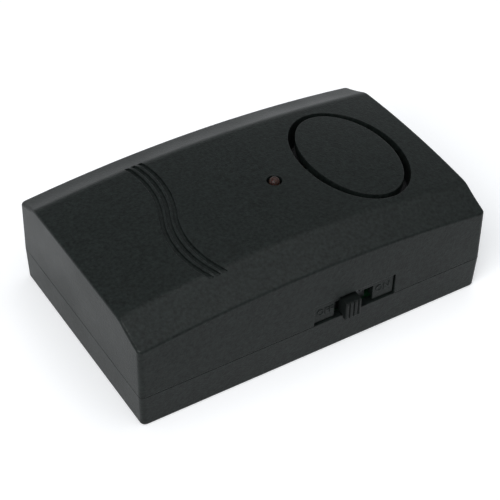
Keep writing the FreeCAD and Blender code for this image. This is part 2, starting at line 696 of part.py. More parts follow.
def lower_shell():
    """The tray: floor with the battery door's track, lap tongue, bosses, board posts and bay walls."""
    foot = (f"{HALF_X} - Sizes.lower_draft", f"{HALF_Y} - Sizes.lower_draft")
    turn = "Sizes.bottom_rounding"
    near = (f"{foot[0]} - 0.3 * {turn}", f"{foot[1]} - 0.3 * {turn}")
    sole = (f"{foot[0]} - {turn}", f"{foot[1]} - {turn}")
    outside = fuse("tray_outside", [
        drafted_block("tray_plan", (turn, PART_Z), foot, (HALF_X, HALF_Y)),
        drafted_block("tray_turn", (f"0.3 * {turn}", turn), near, foot),
        drafted_block("tray_sole", ("0", f"0.3 * {turn}"), sole, near)])
    wall = "Sizes.case_wall"
    room = drafted_block("tray_room", ("Sizes.floor_thickness", f"{PART_Z}"),
                         (f"{foot[0]} - {wall}", f"{foot[1]} - {wall}"),
                         (f"{HALF_X} - {wall}", f"{HALF_Y} - {wall}"))
    tray = cut("tray", outside, room)
    lap = "(Sizes.lap_width + Sizes.lap_clearance)"
    lap_z = (f"{PART_Z} - 1", f"{PART_Z} + Sizes.lap_height")
    ring = cut("tongue_ring",
               drafted_block("tongue_outside", lap_z, (f"{HALF_X} - {lap}", f"{HALF_Y} - {lap}"),
                             (f"{HALF_X} - {lap}", f"{HALF_Y} - {lap}"), "1"),
               drafted_block("tongue_inside", lap_z, (f"{HALF_X} - {wall}", f"{HALF_Y} - {wall}"),
                             (f"{HALF_X} - {wall}", f"{HALF_Y} - {wall}"), "0.5"))
    opening = span_box("tongue_opening", ("Sizes.window_left - 1", "Sizes.window_right + 1"),
                       (f"-{HALF_Y} - 1", f"{WALL_INSIDE} + 1"), (PART_Z, f"{lap_z[1]} + 1"))
    pieces = [tray, cut("tongue", ring, opening)]

    floor = "Sizes.floor_thickness - 0.5"
    for number, (x, y) in enumerate(boss_places(), start=1):
        pieces.append(cylinder(f"tray_boss_{number}", (x, y, floor), "Sizes.well_boss_radius",
                               f"{COVER_Z} - ({floor})"))
    for number, (x, y) in enumerate(board_hole_places(), start=1):
        pieces.append(cylinder(f"board_post_{number}", (x, y, floor), "Sizes.post_radius",
                               f"{BOARD_LOW} - ({floor})"))
    walls_z = (floor, "Sizes.floor_thickness + Sizes.bay_height")
    side = f"{foot[0]} - {wall} + 0.5"
    pieces.append(span_box("bay_front_wall", (f"-({side})", f"{BAY_RIGHT} + Sizes.bay_wall"),
                           (f"{BAY_FRONT} - Sizes.bay_wall", BAY_FRONT), walls_z))
    pieces.append(span_box("bay_right_wall", (BAY_RIGHT, f"{BAY_RIGHT} + Sizes.bay_wall"),
                           (f"{BAY_FRONT} - Sizes.bay_wall", f"{HALF_Y} - {wall}"), walls_z))
    solid = fuse("tray_solid", pieces)

    tools = []
    for number, (x, y) in enumerate(boss_places(), start=1):
        tools.append(cylinder(f"screw_well_{number}", (x, y, "-1"), "Sizes.screw_well_radius",
                              "Sizes.screw_well + 1"))
        tools.append(cylinder(f"screw_hole_{number}", (x, y, "-1"), "Sizes.screw_hole", f"{COVER_Z} + 2"))
    for number, (x, y) in enumerate(board_hole_places(), start=1):
        tools.append(cylinder(f"post_pilot_{number}", (x, y, "Sizes.floor_thickness"),
                              "Sizes.post_pilot", f"{BOARD_LOW} - Sizes.floor_thickness + 1"))
    out = f"{HALF_Y} + 1"
    tools.append(span_box("door_way", (BAY_LEFT, BAY_RIGHT), (BAY_FRONT, out), ("-1", DOOR_TRACK_TOP)))
    runner = "Sizes.door_runner"
    tools.append(span_box("door_track", (f"{BAY_LEFT} - {runner}", f"{BAY_RIGHT} + {runner}"),
                          (f"{BAY_FRONT} - {runner}", out), ("Sizes.door_lip", DOOR_TRACK_TOP)))
    tools.append(span_box("battery_way", (BAY_LEFT, BAY_RIGHT), (BAY_FRONT, BAY_BACK),
                          ("1", "Sizes.floor_thickness + 1")))
    return cut("lower_shell", solid, fuse("tray_cuts", tools))


DOOR_TRACK_TOP = f"({DOOR_TOP} + Sizes.door_play)"


def battery_door():
    """The sliding cover of the bay, a plate with runners on three sides and a ribbed thumb grip."""
    gap = "Sizes.door_clearance"
    back = f"{HALF_Y} - Sizes.lower_draft - 0.1"
    step = "(Sizes.door_lip + Sizes.door_play)"
    skin = span_box("door_skin", (f"{BAY_LEFT} + {gap}", f"{BAY_RIGHT} - {gap}"),
                    (f"{BAY_FRONT} + {gap}", back), ("Sizes.door_raise", step))
    runner = f"(Sizes.door_runner - {gap})"
    wide = span_box("door_runners", (f"{BAY_LEFT} - {runner}", f"{BAY_RIGHT} + {runner}"),
                    (f"{BAY_FRONT} - {runner}", back), (step, DOOR_TOP))
    plate = fuse("door_plate", [skin, wide])
    middle = f"({BAY_LEFT} + {BAY_RIGHT}) / 2"
    grooves = []
    for number in range(4):
        y = f"{back} - 4 - {number} * Sizes.grip_pitch"
        grooves.append(span_box(
            f"grip_{number + 1}", (f"{middle} - Sizes.grip_length / 2", f"{middle} + Sizes.grip_length / 2"),
            (f"{y} - Sizes.grip_width", y), ("-1", "Sizes.door_raise + Sizes.grip_depth")))
    return cut("battery_door", plate, fuse("grip", grooves))


def switch_knob():
    """The ribbed knob: a neck through the case's slot and a finger pad in front of it."""
    half = "Sizes.knob_width / 2"
    x_span = (f"{KNOB_X} - {half}", f"{KNOB_X} + {half}")
    face = f"(-{HALF_Y} - Sizes.knob_clearance)"
    neck = span_box("knob_neck", x_span, (face, f"{WALL_INSIDE} - 0.2"), (KNOB_LOW, KNOB_TOP))
    pad = span_box("knob_pad", x_span, (f"-{HALF_Y} - Sizes.knob_reach", face),
                   (f"{KNOB_LOW} - Sizes.knob_overhang", KNOB_TOP))
    block = fuse("knob_block", [neck, pad])
    front = value_of(f"-{HALF_Y} - Sizes.knob_reach")
    eased = rounded("knob_eased", block, "knob_rounding",
                    lambda edge: edge.BoundBox.YMax < front + 0.01)
    tools = []
    for number in range(3):
        x = f"{KNOB_X} + {number - 1} * Sizes.knob_rib_pitch"
        tools.append(span_box(f"knob_groove_{number + 1}",
                              (f"{x} - Sizes.knob_rib / 2", f"{x} + Sizes.knob_rib / 2"),
                              (f"-{HALF_Y} - Sizes.knob_reach - 1",
                               f"-{HALF_Y} - Sizes.knob_reach + Sizes.knob_rib_depth"), ("0", "20")))
    wide = "(Sizes.slider_width / 2 + Sizes.knob_fit)"
    high = "(Sizes.slider_height / 2 + Sizes.knob_fit)"
    tools.append(span_box("knob_socket", (f"{KNOB_X} - {wide}", f"{KNOB_X} + {wide}"),
                          (f"{STUB_TIP} - Sizes.knob_fit", WALL_INSIDE),
                          (f"{KNOB_MID_Z} - {high}", f"{KNOB_MID_Z} + {high}")))
    return cut("switch_knob", eased, fuse("knob_cuts", tools))


STUB_TIP = f"({WALL_INSIDE} - Sizes.stub_reach)"
SWITCH_FRONT = f"({WALL_INSIDE} + Sizes.switch_gap)"
SWITCH_BACK = f"({SWITCH_FRONT} + Sizes.switch_depth)"
SWITCH_TOP = f"({BOARD_TOP} + Sizes.switch_height)"


def switch_slider():
    """The switch's own slider: a block inside the frame and the stub that carries the knob."""
    sheet_gap = "(Sizes.switch_sheet + Sizes.slider_play)"
    block = span_box("slider_block",
                     (f"{KNOB_X} - Sizes.slider_length / 2", f"{KNOB_X} + Sizes.slider_length / 2"),
                     (f"{SWITCH_FRONT} + {sheet_gap}", f"{SWITCH_BACK} - {sheet_gap}"),
                     (f"{BOARD_TOP} + Sizes.switch_base + Sizes.slider_play", f"{SWITCH_TOP} - {sheet_gap}"))
    half_w, half_h = "Sizes.slider_width / 2", "Sizes.slider_height / 2"
    stub = span_box("slider_stub", (f"{KNOB_X} - {half_w}", f"{KNOB_X} + {half_w}"),
                    (STUB_TIP, f"{SWITCH_BACK} - 2"),
                    (f"{KNOB_MID_Z} - {half_h}", f"{KNOB_MID_Z} + {half_h}"))
    return fuse("switch_slider", [block, stub])


def switch_frame():
    """The folded metal frame of the slide switch, open below, with a slot for the slider's stub."""
    x_span = ("Sizes.slot_middle - Sizes.switch_length / 2", "Sizes.slot_middle + Sizes.switch_length / 2")
    outside = span_box("frame_outside", x_span, (SWITCH_FRONT, SWITCH_BACK), (BOARD_TOP, SWITCH_TOP))
    skin = "Sizes.switch_sheet"
    inside = span_box("frame_inside", (f"{x_span[0]} + {skin}", f"{x_span[1]} - {skin}"),
                      (f"{SWITCH_FRONT} + {skin}", f"{SWITCH_BACK} - {skin}"),
                      (f"{BOARD_TOP} - 1", f"{SWITCH_TOP} - {skin}"))
    reach = "(Sizes.slider_width / 2 + Sizes.slider_play)"
    slot = span_box("frame_slot", (f"{KNOB_X} - {reach}", f"{KNOB_X} + Sizes.switch_travel + {reach}"),
                    (f"{SWITCH_FRONT} - 1", f"{SWITCH_FRONT} + 1"),
                    (f"{KNOB_MID_Z} - Sizes.slider_height / 2 - Sizes.slider_play",
                     f"{KNOB_MID_Z} + Sizes.slider_height / 2 + Sizes.slider_play"))
    return cut("switch_frame", outside, fuse("frame_cuts", [inside, slot]))


def switch_base():
    """The insulating plate that closes the frame from below and holds the contacts."""
    skin = "(Sizes.switch_sheet + Sizes.part_fit)"
    reach = f"(Sizes.switch_length / 2 - {skin})"
    return span_box("switch_base", (f"Sizes.slot_middle - {reach}", f"Sizes.slot_middle + {reach}"),
                    (f"{SWITCH_FRONT} + {skin}", f"{SWITCH_BACK} - {skin}"),
                    (BOARD_TOP, f"{BOARD_TOP} + Sizes.switch_base"))


def board_hole_places():
    """The four posts and screws that hold the circuit board."""
    x = f"({BOARD_HALF} - Sizes.board_hole_inset)"
    front = f"({BOARD_FRONT} + Sizes.board_hole_inset)"
    back = f"({BOARD_BACK} - Sizes.board_hole_inset)"
    return [(f"-{x}", front), (x, front), (f"-{x}", back), (x, back)]


def leg(name, x, y, top):
    """A round wire leg from a height down through the board."""
    low = f"{BOARD_LOW} - Sizes.solder_reach"
    return cylinder(name, (x, y, low), "Sizes.leg_radius", f"({top}) - ({low})")


def led_leg_places():
    half = "Sizes.led_lead_gap / 2"
    return [(f"{LED_X} - {half}", LED_Y), (f"{LED_X} + {half}", LED_Y)]


def switch_leg_places():
    y = f"{SWITCH_BACK} - 1.6"
    return [(f"Sizes.slot_middle + {step} * Sizes.leg_pitch", y) for step in (-1, 0, 1)]


def chip_leg_places():
    places = []
    for side in (-1, 1):
        for step in range(4):
            x = f"Sizes.chip_x + {step - 1.5} * Sizes.leg_pitch"
            places.append((x, f"{CHIP_Y} + {side} * Sizes.chip_row / 2"))
    return places


def coil_leg_places():
    places = []
    for turn in (90, 210, 330):
        away = math.radians(turn)
        places.append((f"Sizes.coil_x + {math.cos(away):.6f} * Sizes.coil_core_radius",
                       f"{COIL_Y} + {math.sin(away):.6f} * Sizes.coil_core_radius"))
    return places


def capacitor_leg_places():
    return [(f"Sizes.capacitor_x + {side} * Sizes.leg_pitch / 2", CAPACITOR_Y) for side in (-1, 1)]


def transistor_leg_places():
    return [(f"Sizes.transistor_x + {step} * Sizes.leg_pitch / 2", TRANSISTOR_Y)
            for step in (-1, 0, 1)]


def sensor_leg_places():
    return [("Sizes.sensor_x", SENSOR_Y), ("Sizes.sensor_x + Sizes.spring_radius", SENSOR_Y)]


def resistor_places():
    """Middle of each resistor, in one row across the board."""
    return [("Sizes.resistor_x", f"{RESISTOR_Y} + {step} * Sizes.resistor_pitch") for step in range(5)]


def resistor_leg_places():
    half = "Sizes.resistor_span / 2"
    return [(f"{x} + {side} * {half}", y) for x, y in resistor_places() for side in (-1, 1)]


def circuit_board():
    """The board, drilled for its screws and for every leg that passes through it."""
    plate = span_box("board_plate", (f"-{BOARD_HALF}", BOARD_HALF), (BOARD_FRONT, BOARD_BACK),
                     (BOARD_LOW, BOARD_TOP))
    holes = []
    for number, (x, y) in enumerate(board_hole_places(), start=1):
        holes.append(cylinder(f"board_hole_{number}", (x, y, "0"), "Sizes.board_hole_radius", "20"))
    legs = led_leg_places() + switch_leg_places() + chip_leg_places() + coil_leg_places()
    legs += capacitor_leg_places() + transistor_leg_places() + sensor_leg_places() + resistor_leg_places()
    for number, (x, y) in enumerate(legs, start=1):
        holes.append(cylinder(f"leg_hole_{number}", (x, y, "0"), "Sizes.leg_radius + Sizes.leg_clearance",
                              "20"))
    return cut("circuit_board", plate, fuse("board_holes", holes))


LED_TOP = f"({TOP_Z} + Sizes.crown_rise + Sizes.led_rise)"
LED_LOW = f"({LED_TOP} - Sizes.led_body_height - Sizes.led_radius)"


def led_lens():
    """The 3 mm lamp: flange, barrel and dome."""
    at = (LED_X, LED_Y)
    flange = cylinder("led_flange", (*at, LED_LOW), "Sizes.led_flange_radius", "1")
    barrel = cylinder("led_barrel", (*at, LED_LOW), "Sizes.led_radius", "Sizes.led_body_height")
    dome = doc.addObject("Part::Sphere", "led_dome")
    dome.setExpression("Radius", "Sizes.led_radius")
    place(dome, *at, f"{LED_LOW} + Sizes.led_body_height")
    return fuse("led_lens", [flange, barrel, dome])


def led_parts():
    """The lamp's two long legs and the tube that holds it at the roof."""
    legs = [leg(f"led_leg_{number}", x, y, LED_LOW) for number, (x, y) in enumerate(led_leg_places(), 1)]
    at = (LED_X, LED_Y, BOARD_TOP)
    tall = f"{LED_LOW} - {BOARD_TOP}"
    tube = cylinder("spacer_tube", at, "Sizes.spacer_radius", tall)
    bore = cylinder("spacer_bore", at, "Sizes.spacer_bore", tall)
    return [group("led_legs", legs), cut("led_spacer", tube, bore)]


def leg_groups():
    """Legs of the switch, chip, coil, capacitor, transistor and sensor, one group each."""
    chip_top = f"{BOARD_TOP} + Sizes.chip_rise + Sizes.chip_height / 2"
    chip = []
    for number, (x, y) in enumerate(chip_leg_places(), start=1):
        blade = leg(f"chip_pin_{number}", x, y, chip_top)
        edge = "Sizes.chip_width / 2"
        if number <= 4:
            span = (y, f"{CHIP_Y} - {edge}")
        else:
            span = (f"{CHIP_Y} + {edge}", y)
        tab = span_box(f"chip_tab_{number}", (f"{x} - Sizes.leg_radius", f"{x} + Sizes.leg_radius"), span,
                       (f"{chip_top} - 2 * Sizes.leg_radius", chip_top))
        chip.append(fuse(f"chip_leg_{number}", [blade, tab]))
    made = [group("chip_legs", chip)]
    rows = [
        ("switch_legs", switch_leg_places(), BOARD_TOP),
        ("coil_legs", coil_leg_places(), BOARD_TOP),
        ("capacitor_legs", capacitor_leg_places(), f"{BOARD_TOP} + Sizes.part_rise"),
        ("transistor_legs", transistor_leg_places(), f"{BOARD_TOP} + Sizes.transistor_rise"),
    ]
    for name, places, top in rows:
        legs = [leg(f"{name}_{number}", x, y, top) for number, (x, y) in enumerate(places, start=1)]
        made.append(group(name, legs))
    return made


def chip_body():
    """The dual in-line chip, with the usual half-round mark at one end."""
    half_x, half_y = "Sizes.chip_length / 2", "Sizes.chip_width / 2"
    low = f"{BOARD_TOP} + Sizes.chip_rise"
    block = span_box("chip_block", (f"Sizes.chip_x - {half_x}", f"Sizes.chip_x + {half_x}"),
                     (f"{CHIP_Y} - {half_y}", f"{CHIP_Y} + {half_y}"),
                     (low, f"{low} + Sizes.chip_height"))
    top = f"{low} + Sizes.chip_height"
    mark = cylinder("chip_mark", (f"Sizes.chip_x - {half_x}", CHIP_Y, f"{top} - 0.3"), "1", "1")
    return cut("chip_body", block, mark)


def coil_core():
    """The ferrite drum of the step-up coil, turned in one profile: flange, waist, flange."""
    body = doc.addObject("PartDesign::Body", "coil_core")
    sketch = new_sketch(body, "coil_profile", "XZ_Plane")
    radius, waist, flange = "Sizes.coil_radius", "Sizes.coil_core_radius / 2", "Sizes.coil_flange"
    tall = "Sizes.coil_height"
    outline(sketch, [("0", "0"), (radius, "0"), (radius, flange), (waist, flange),
                     (waist, f"{tall} - {flange}"), (radius, f"{tall} - {flange}"), (radius, tall),
                     ("0", tall)])
    turn = body.newObject("PartDesign::Revolution", "coil_turn")
    turn.Profile = sketch
    turn.ReferenceAxis = (sketch, ["V_Axis"])
    turn.Angle = 360
    return place(body, "Sizes.coil_x", COIL_Y, BOARD_TOP)


def coil_winding():
    """The enamelled wire on the drum, one solid band of its outer shape."""
    at = ("Sizes.coil_x", COIL_Y, f"{BOARD_TOP} + Sizes.coil_flange")
    tall = "Sizes.coil_height - 2 * Sizes.coil_flange"
    return cut("coil_winding", cylinder("winding_outside", at, "Sizes.coil_radius - 0.5", tall),
               cylinder("winding_inside", at, "Sizes.coil_core_radius / 2", tall))


def capacitor():
    """The electrolytic capacitor: a can with a crimp round its foot."""
    body = doc.addObject("PartDesign::Body", "capacitor")
    sketch = new_sketch(body, "capacitor_profile", "XZ_Plane")
    radius, tall, crimp = "Sizes.capacitor_radius", "Sizes.capacitor_height", "Sizes.capacitor_crimp"
    outline(sketch, [("0", "0"), (radius, "0"), (radius, "1"), (f"{radius} - {crimp}", "1.4"),
                     (radius, "1.8"), (radius, f"{tall} - {crimp}"), (f"{radius} - {crimp}", tall),
                     ("0", tall)])
    turn = body.newObject("PartDesign::Revolution", "capacitor_turn")
    turn.Profile = sketch
    turn.ReferenceAxis = (sketch, ["V_Axis"])
    turn.Angle = 360
    return place(body, "Sizes.capacitor_x", CAPACITOR_Y, f"{BOARD_TOP} + Sizes.part_rise")


def driver_transistor():
    """The transistor that drives the coil: a round case with one flat face."""
    at = ("Sizes.transistor_x", TRANSISTOR_Y, f"{BOARD_TOP} + Sizes.transistor_rise")
    case = cylinder("transistor_case", at, "Sizes.transistor_radius", "Sizes.transistor_height")
    reach = "Sizes.transistor_radius"
    flat = span_box("transistor_flat", (f"Sizes.transistor_x - {reach}", f"Sizes.transistor_x + {reach}"),
                    (f"{TRANSISTOR_Y} - {reach} - 1", f"{TRANSISTOR_Y} - Sizes.transistor_flat"),
                    ("0", "40"))
    return cut("driver_transistor", case, flat)


def resistors():
    """Five resistors lying on the board, and the bent wires that carry them."""
    axis_z = f"({BOARD_TOP} + Sizes.resistor_radius + Sizes.part_rise)"
    bodies, wires = [], []
    half_body = "Sizes.resistor_length / 2"
    half_span = "Sizes.resistor_span / 2"
    for number, (x, y) in enumerate(resistor_places(), start=1):
        bodies.append(cylinder(f"resistor_{number}", (f"{x} - {half_body}", y, axis_z),
                               "Sizes.resistor_radius", "Sizes.resistor_length", "X"))
        for side, mark in ((-1, "a"), (1, "b")):
            reach = f"({half_span} + Sizes.lead_wire / 2)"
            start = f"{x} - {reach}" if side < 0 else f"{x} + {half_body}"
            across = cylinder(f"resistor_wire_{number}{mark}", (start, y, axis_z), "Sizes.lead_wire",
                              f"{reach} - {half_body}", "X")
            down = leg(f"resistor_leg_{number}{mark}", f"{x} + {side} * {half_span}", y,
                       f"{axis_z} + Sizes.leg_radius")
            wires.append(fuse(f"resistor_bend_{number}{mark}", [across, down]))
    return [group("resistor_bodies", bodies), group("resistor_wires", wires)]


def vibration_sensor():
    """The shock switch: a spring round a centre pin on a base, under a closed cover."""
    at = ("Sizes.sensor_x", SENSOR_Y)
    base_top = f"({BOARD_TOP} + Sizes.sensor_base)"
    base = cylinder("sensor_base_disc", (*at, BOARD_TOP), "Sizes.sensor_radius", "Sizes.sensor_base")
    bore = "Sizes.leg_radius + Sizes.leg_clearance"
    holes = [cylinder(f"sensor_base_hole_{number}", (x, y, "0"), bore, "20")
             for number, (x, y) in enumerate(sensor_leg_places(), start=1)]
    made = [cut("sensor_base", base, fuse("sensor_base_holes", holes))]
    made.append(leg("sensor_pin", *at, f"{base_top} + Sizes.spring_height + 0.5"))

    cover = cylinder("sensor_cover_outside", (*at, base_top), "Sizes.sensor_radius", "Sizes.sensor_cover")
    room = cylinder("sensor_cover_room", (*at, base_top), "Sizes.sensor_radius - Sizes.sensor_wall",
                    "Sizes.sensor_cover - Sizes.sensor_wall")
    made.append(cut("sensor_cover", cover, room))

    coil = doc.addObject("Part::Helix", "spring_path")
    coil.setExpression("Pitch", "Sizes.spring_pitch")
    coil.setExpression("Height", "Sizes.spring_height - 2 * Sizes.spring_wire - Sizes.part_fit")
    coil.setExpression("Radius", "Sizes.spring_radius")
    wire = doc.addObject("Part::Plane", "spring_section")
    wire.setExpression("Length", "2 * Sizes.spring_wire")
    wire.setExpression("Width", "2 * Sizes.spring_wire")
    wire.Placement.Rotation = TURNS["-Y"]
    place(wire, "Sizes.spring_radius - Sizes.spring_wire", "0", "-Sizes.spring_wire")
    sweep = doc.addObject("Part::Sweep", "spring_turns")
    sweep.Sections = [wire]
    sweep.Spine = (coil, [])
    sweep.Solid = True
    sweep.Frenet = True
    turns = place(sweep, *at, f"{base_top} + Sizes.spring_wire + Sizes.part_fit")
    x = "Sizes.sensor_x + Sizes.spring_radius"
    foot = leg("spring_foot", x, SENSOR_Y, f"{base_top} + 2 * Sizes.spring_wire + Sizes.part_fit")
    made.append(fuse("sensor_spring", [turns, foot]))
    return made


def siren_parts():
    """The siren: an oval floor that closes the collar, the brass plate on its ring, and the ceramic."""
    wall = "Sizes.collar_wall"
    floor = oval("chamber_plate", SIREN, f"Sizes.siren_half_x + {wall}", f"Sizes.siren_half_y + {wall}",
                 ("Sizes.chamber_height", CHAMBER_TOP))
    ring = cylinder("piezo_ring", (*SIREN, CHAMBER_TOP), "Sizes.piezo_radius + Sizes.seat_land",
                    "Sizes.piezo_seat + Sizes.piezo_thickness")
    nest = cylinder("piezo_nest", (*SIREN, SEAT_TOP), "Sizes.piezo_radius + Sizes.part_fit", "5")
    well = cylinder("piezo_well", (*SIREN, CHAMBER_TOP), "Sizes.piezo_radius - Sizes.seat_land", "5")
    holes = [cylinder(f"siren_wire_hole_{number}", (x, y, "0"), "Sizes.wire_radius + Sizes.part_fit", "30")
             for number, (x, y) in enumerate(siren_wire_tops(), start=1)]
    housing = cut("siren_housing", fuse("siren_solid", [floor, ring]),
                  fuse("siren_cuts", [nest, well] + holes))
    plate = cylinder("piezo_plate", (*SIREN, SEAT_TOP), "Sizes.piezo_radius", "Sizes.piezo_thickness")
    ceramic = cylinder("piezo_ceramic", (*SIREN, f"{SEAT_TOP} + Sizes.piezo_thickness"),
                       "Sizes.ceramic_radius", "Sizes.ceramic_thickness")
    return [housing, plate, ceramic]


def siren_wire_tops():
    """Where the siren's two wires leave the brass plate and pass the chamber floor."""
    y = "Sizes.siren_y - Sizes.siren_wire_back"
    return [(f"{SIREN_X} + {side} * Sizes.siren_wire_gap / 2", y) for side in (-1, 1)]


def tube(name, points, radius, bend):
    """A round wire along straight runs joined by tangent arcs, all bends of one radius."""
    points = [FreeCAD.Vector(*(value_of(c) for c in point)) for point in points]
    bend = value_of(bend)
    edges = []
    start = points[0]
    for before, corner, after in zip(points, points[1:], points[2:]):
        arriving = (corner - before).normalize()
        leaving = (after - corner).normalize()
        turn = arriving.getAngle(leaving)
        if turn < 1e-3:
            continue
        cut_back = bend * math.tan(turn / 2)
        first = corner - arriving * cut_back
        last = corner + leaving * cut_back
        inward = (leaving - arriving).normalize()
        centre = corner + inward * (bend / math.cos(turn / 2))
        edges.append(Part.LineSegment(start, first).toShape())
        edges.append(Part.Arc(first, centre - inward * bend, last).toShape())
        start = last
    edges.append(Part.LineSegment(start, points[-1]).toShape())
    spine = Part.Wire(edges)
    heading = (points[1] - points[0]).normalize()
    thick = value_of(radius)
    section = Part.Wire([Part.Circle(points[0], heading, thick).toShape()])
    obj = doc.addObject("Part::Feature", name)
    obj.Shape = spine.makePipeShell([section], True, False)
    even = math.pi * thick ** 2 * spine.Length
    print(name, "wire radius", thick, "bend radius", bend, "length", round(spine.Length, 2),
          "volume", round(obj.Shape.Volume, 3), "section times length", round(even, 3))
    return obj


def wires():
    """The battery's two leads over the bay wall, and the siren's two wires to the board."""
    battery, siren = [], []
    for number, side in enumerate((-1, 1), start=1):
        aside = f"{side} * Sizes.wire_gap / 2"
        lead_x = f"({SNAP_LEFT} + {SNAP_RIGHT}) / 2 + {aside}"
        end_y = f"{BOARD_BACK} - Sizes.lead_inset"
        high = "Sizes.lead_height"
        route = [(lead_x, SNAP_FRONT, high), (lead_x, end_y, high), (lead_x, end_y, BOARD_TOP)]
        battery.append(tube(f"battery_lead_{number}", route, "Sizes.wire_radius", "Sizes.lead_bend"))
    for number, (x, y) in enumerate(siren_wire_tops(), start=1):
        aside = "Sizes.siren_wire_aside"
        route = [(x, y, SEAT_TOP), (x, y, f"{SEAT_TOP} - Sizes.siren_wire_drop"),
                 (f"{x} - {aside}", y, f"{BOARD_TOP} + Sizes.siren_wire_rise"),
                 (f"{x} - {aside}", y, BOARD_TOP)]
        siren.append(tube(f"siren_wire_{number}", route, "Sizes.wire_radius", "Sizes.siren_wire_bend"))
    return [group("battery_leads", battery), group("siren_wires", siren)]


def battery():
    """The 9 V block: sheet can, six flat cells, end plate, one round and one crown terminal."""
    z_span = (BATTERY_LOW, BATTERY_TOP)
    joint = f"{BATTERY_END} - Sizes.end_plate"
    block = span_box("can_block", (BATTERY_LEFT, joint), (BATTERY_FRONT, BATTERY_BACK), z_span)
    solid = rounded("can_outside", block, "battery_rounding",
                    lambda edge: edge.BoundBox.XLength > size("end_plate"))
    sheet_in = "Sizes.can_sheet"
    room_y = (f"{BATTERY_FRONT} + {sheet_in}", f"{BATTERY_BACK} - {sheet_in}")
    room_z = (f"{BATTERY_LOW} + {sheet_in}", f"{BATTERY_TOP} - {sheet_in}")
    hollow = rounded("can_room", span_box("can_room_block", (f"{BATTERY_LEFT} + {sheet_in}", joint), room_y,
                                          room_z),
                     "can_room_rounding", lambda edge: edge.BoundBox.XLength > size("end_plate"))
    can = cut("battery_can", solid, hollow)
    gap = "Sizes.cell_gap"
    pitch = f"(({joint} - {BATTERY_LEFT} - {sheet_in} - {gap}) / Sizes.cell_count)"
    cells = []
    for number in range(int(size("cell_count"))):
        x = f"{BATTERY_LEFT} + {sheet_in} + {gap} + {number} * {pitch}"
        cell = span_box(f"cell_block_{number + 1}", (x, f"{x} + {pitch} - {gap}"),
                        (f"{room_y[0]} + {gap}", f"{room_y[1]} - {gap}"),
                        (f"{room_z[0]} + {gap}", f"{room_z[1]} - {gap}"))
        cells.append(rounded(f"cell_{number + 1}", cell, "can_room_rounding",
                             lambda edge: edge.BoundBox.YLength < 0.1 and edge.BoundBox.ZLength < 0.1))
    plate = span_box("end_block", (joint, BATTERY_END), (BATTERY_FRONT, BATTERY_BACK), z_span)
    end = rounded("battery_end", plate, "battery_rounding",
                  lambda edge: abs(edge.BoundBox.XLength - size("end_plate")) < 0.01)
    half = "Sizes.terminal_gap / 2"
    round_one = cylinder("terminal_plus", (BATTERY_END, f"{BATTERY_MIDDLE} - {half}", BATTERY_MID_Z),
                         "Sizes.terminal_radius", "Sizes.terminal_height", "X")
    crown = (BATTERY_END, f"{BATTERY_MIDDLE} + {half}", BATTERY_MID_Z)
    cup = cut("terminal_minus",
              cone("crown_outside", crown, "Sizes.crown_radius", "Sizes.crown_radius - 0.5",
                   "Sizes.terminal_height", "X"),
              cylinder("crown_inside", (f"{BATTERY_END} + 0.5", *crown[1:]), "Sizes.terminal_radius",
                       "Sizes.terminal_height", "X"))
    return [can, group("battery_cells", cells), end, group("battery_terminals", [round_one, cup])]


def snap_connector():
    """The moulded snap that sits over both terminals."""
    half_y, half_z = "Sizes.snap_width / 2", "Sizes.snap_height / 2"
    block = span_box("snap_block", (SNAP_LEFT, SNAP_RIGHT),
                     (f"{BATTERY_MIDDLE} - {half_y}", f"{BATTERY_MIDDLE} + {half_y}"),
                     (f"{BATTERY_MID_Z} - {half_z}", f"{BATTERY_MID_Z} + {half_z}"))
    eased = rounded("snap_eased", block, "snap_rounding",
                    lambda edge: abs(edge.BoundBox.XLength - size("snap_thickness")) < 0.01)
    pockets = []
    deep = f"Sizes.terminal_height + Sizes.bay_clearance - Sizes.snap_gap + 1"
    for side, radius in ((-1, "Sizes.terminal_radius"), (1, "Sizes.crown_radius")):
        at = (f"{SNAP_LEFT} - 1", f"{BATTERY_MIDDLE} + {side} * Sizes.terminal_gap / 2", BATTERY_MID_Z)
        pockets.append(cylinder(f"snap_pocket_{side + 2}", at, f"{radius} + Sizes.part_fit", deep, "X"))
    return cut("snap_connector", eased, fuse("snap_pockets", pockets))


def driver_cross(name, x, y, z_span, reach):
    """The cross in a screw's head, as two crossed blocks to take away."""
    half = "Sizes.cross_width / 2"
    arms = [("x", reach, half), ("y", half, reach)]
    return fuse(name, [span_box(f"{name}_{axis}", (f"{x} - {wide}", f"{x} + {wide}"),
                                (f"{y} - {deep}", f"{y} + {deep}"), z_span) for axis, wide, deep in arms])


def case_screws():
    """Four self-tapping screws, head down in its well, tip in the cover's boss."""
    screws = []
    for number, (x, y) in enumerate(boss_places(), start=1):
        low = "Sizes.screw_well - Sizes.screw_head_height"
        head = cylinder(f"screw_head_{number}", (x, y, low), "Sizes.screw_head_radius",
                        "Sizes.screw_head_height")
        shank = cylinder(f"screw_shank_{number}", (x, y, "Sizes.screw_well"), "Sizes.screw_radius",
                         "Sizes.screw_length - Sizes.screw_tip")
        tip = cone(f"screw_tip_{number}", (x, y, "Sizes.screw_well + Sizes.screw_length - Sizes.screw_tip"),
                   "Sizes.screw_radius", "Sizes.screw_radius / 3", "Sizes.screw_tip")
        cross = driver_cross(f"case_cross_{number}", x, y, (f"{low} - 1", f"{low} + Sizes.cross_depth"),
                             "Sizes.screw_head_radius * 0.6")
        screws.append(cut(f"case_screw_{number}", fuse(f"case_screw_solid_{number}", [head, shank, tip]),
                          cross))
    return group("case_screws", screws)


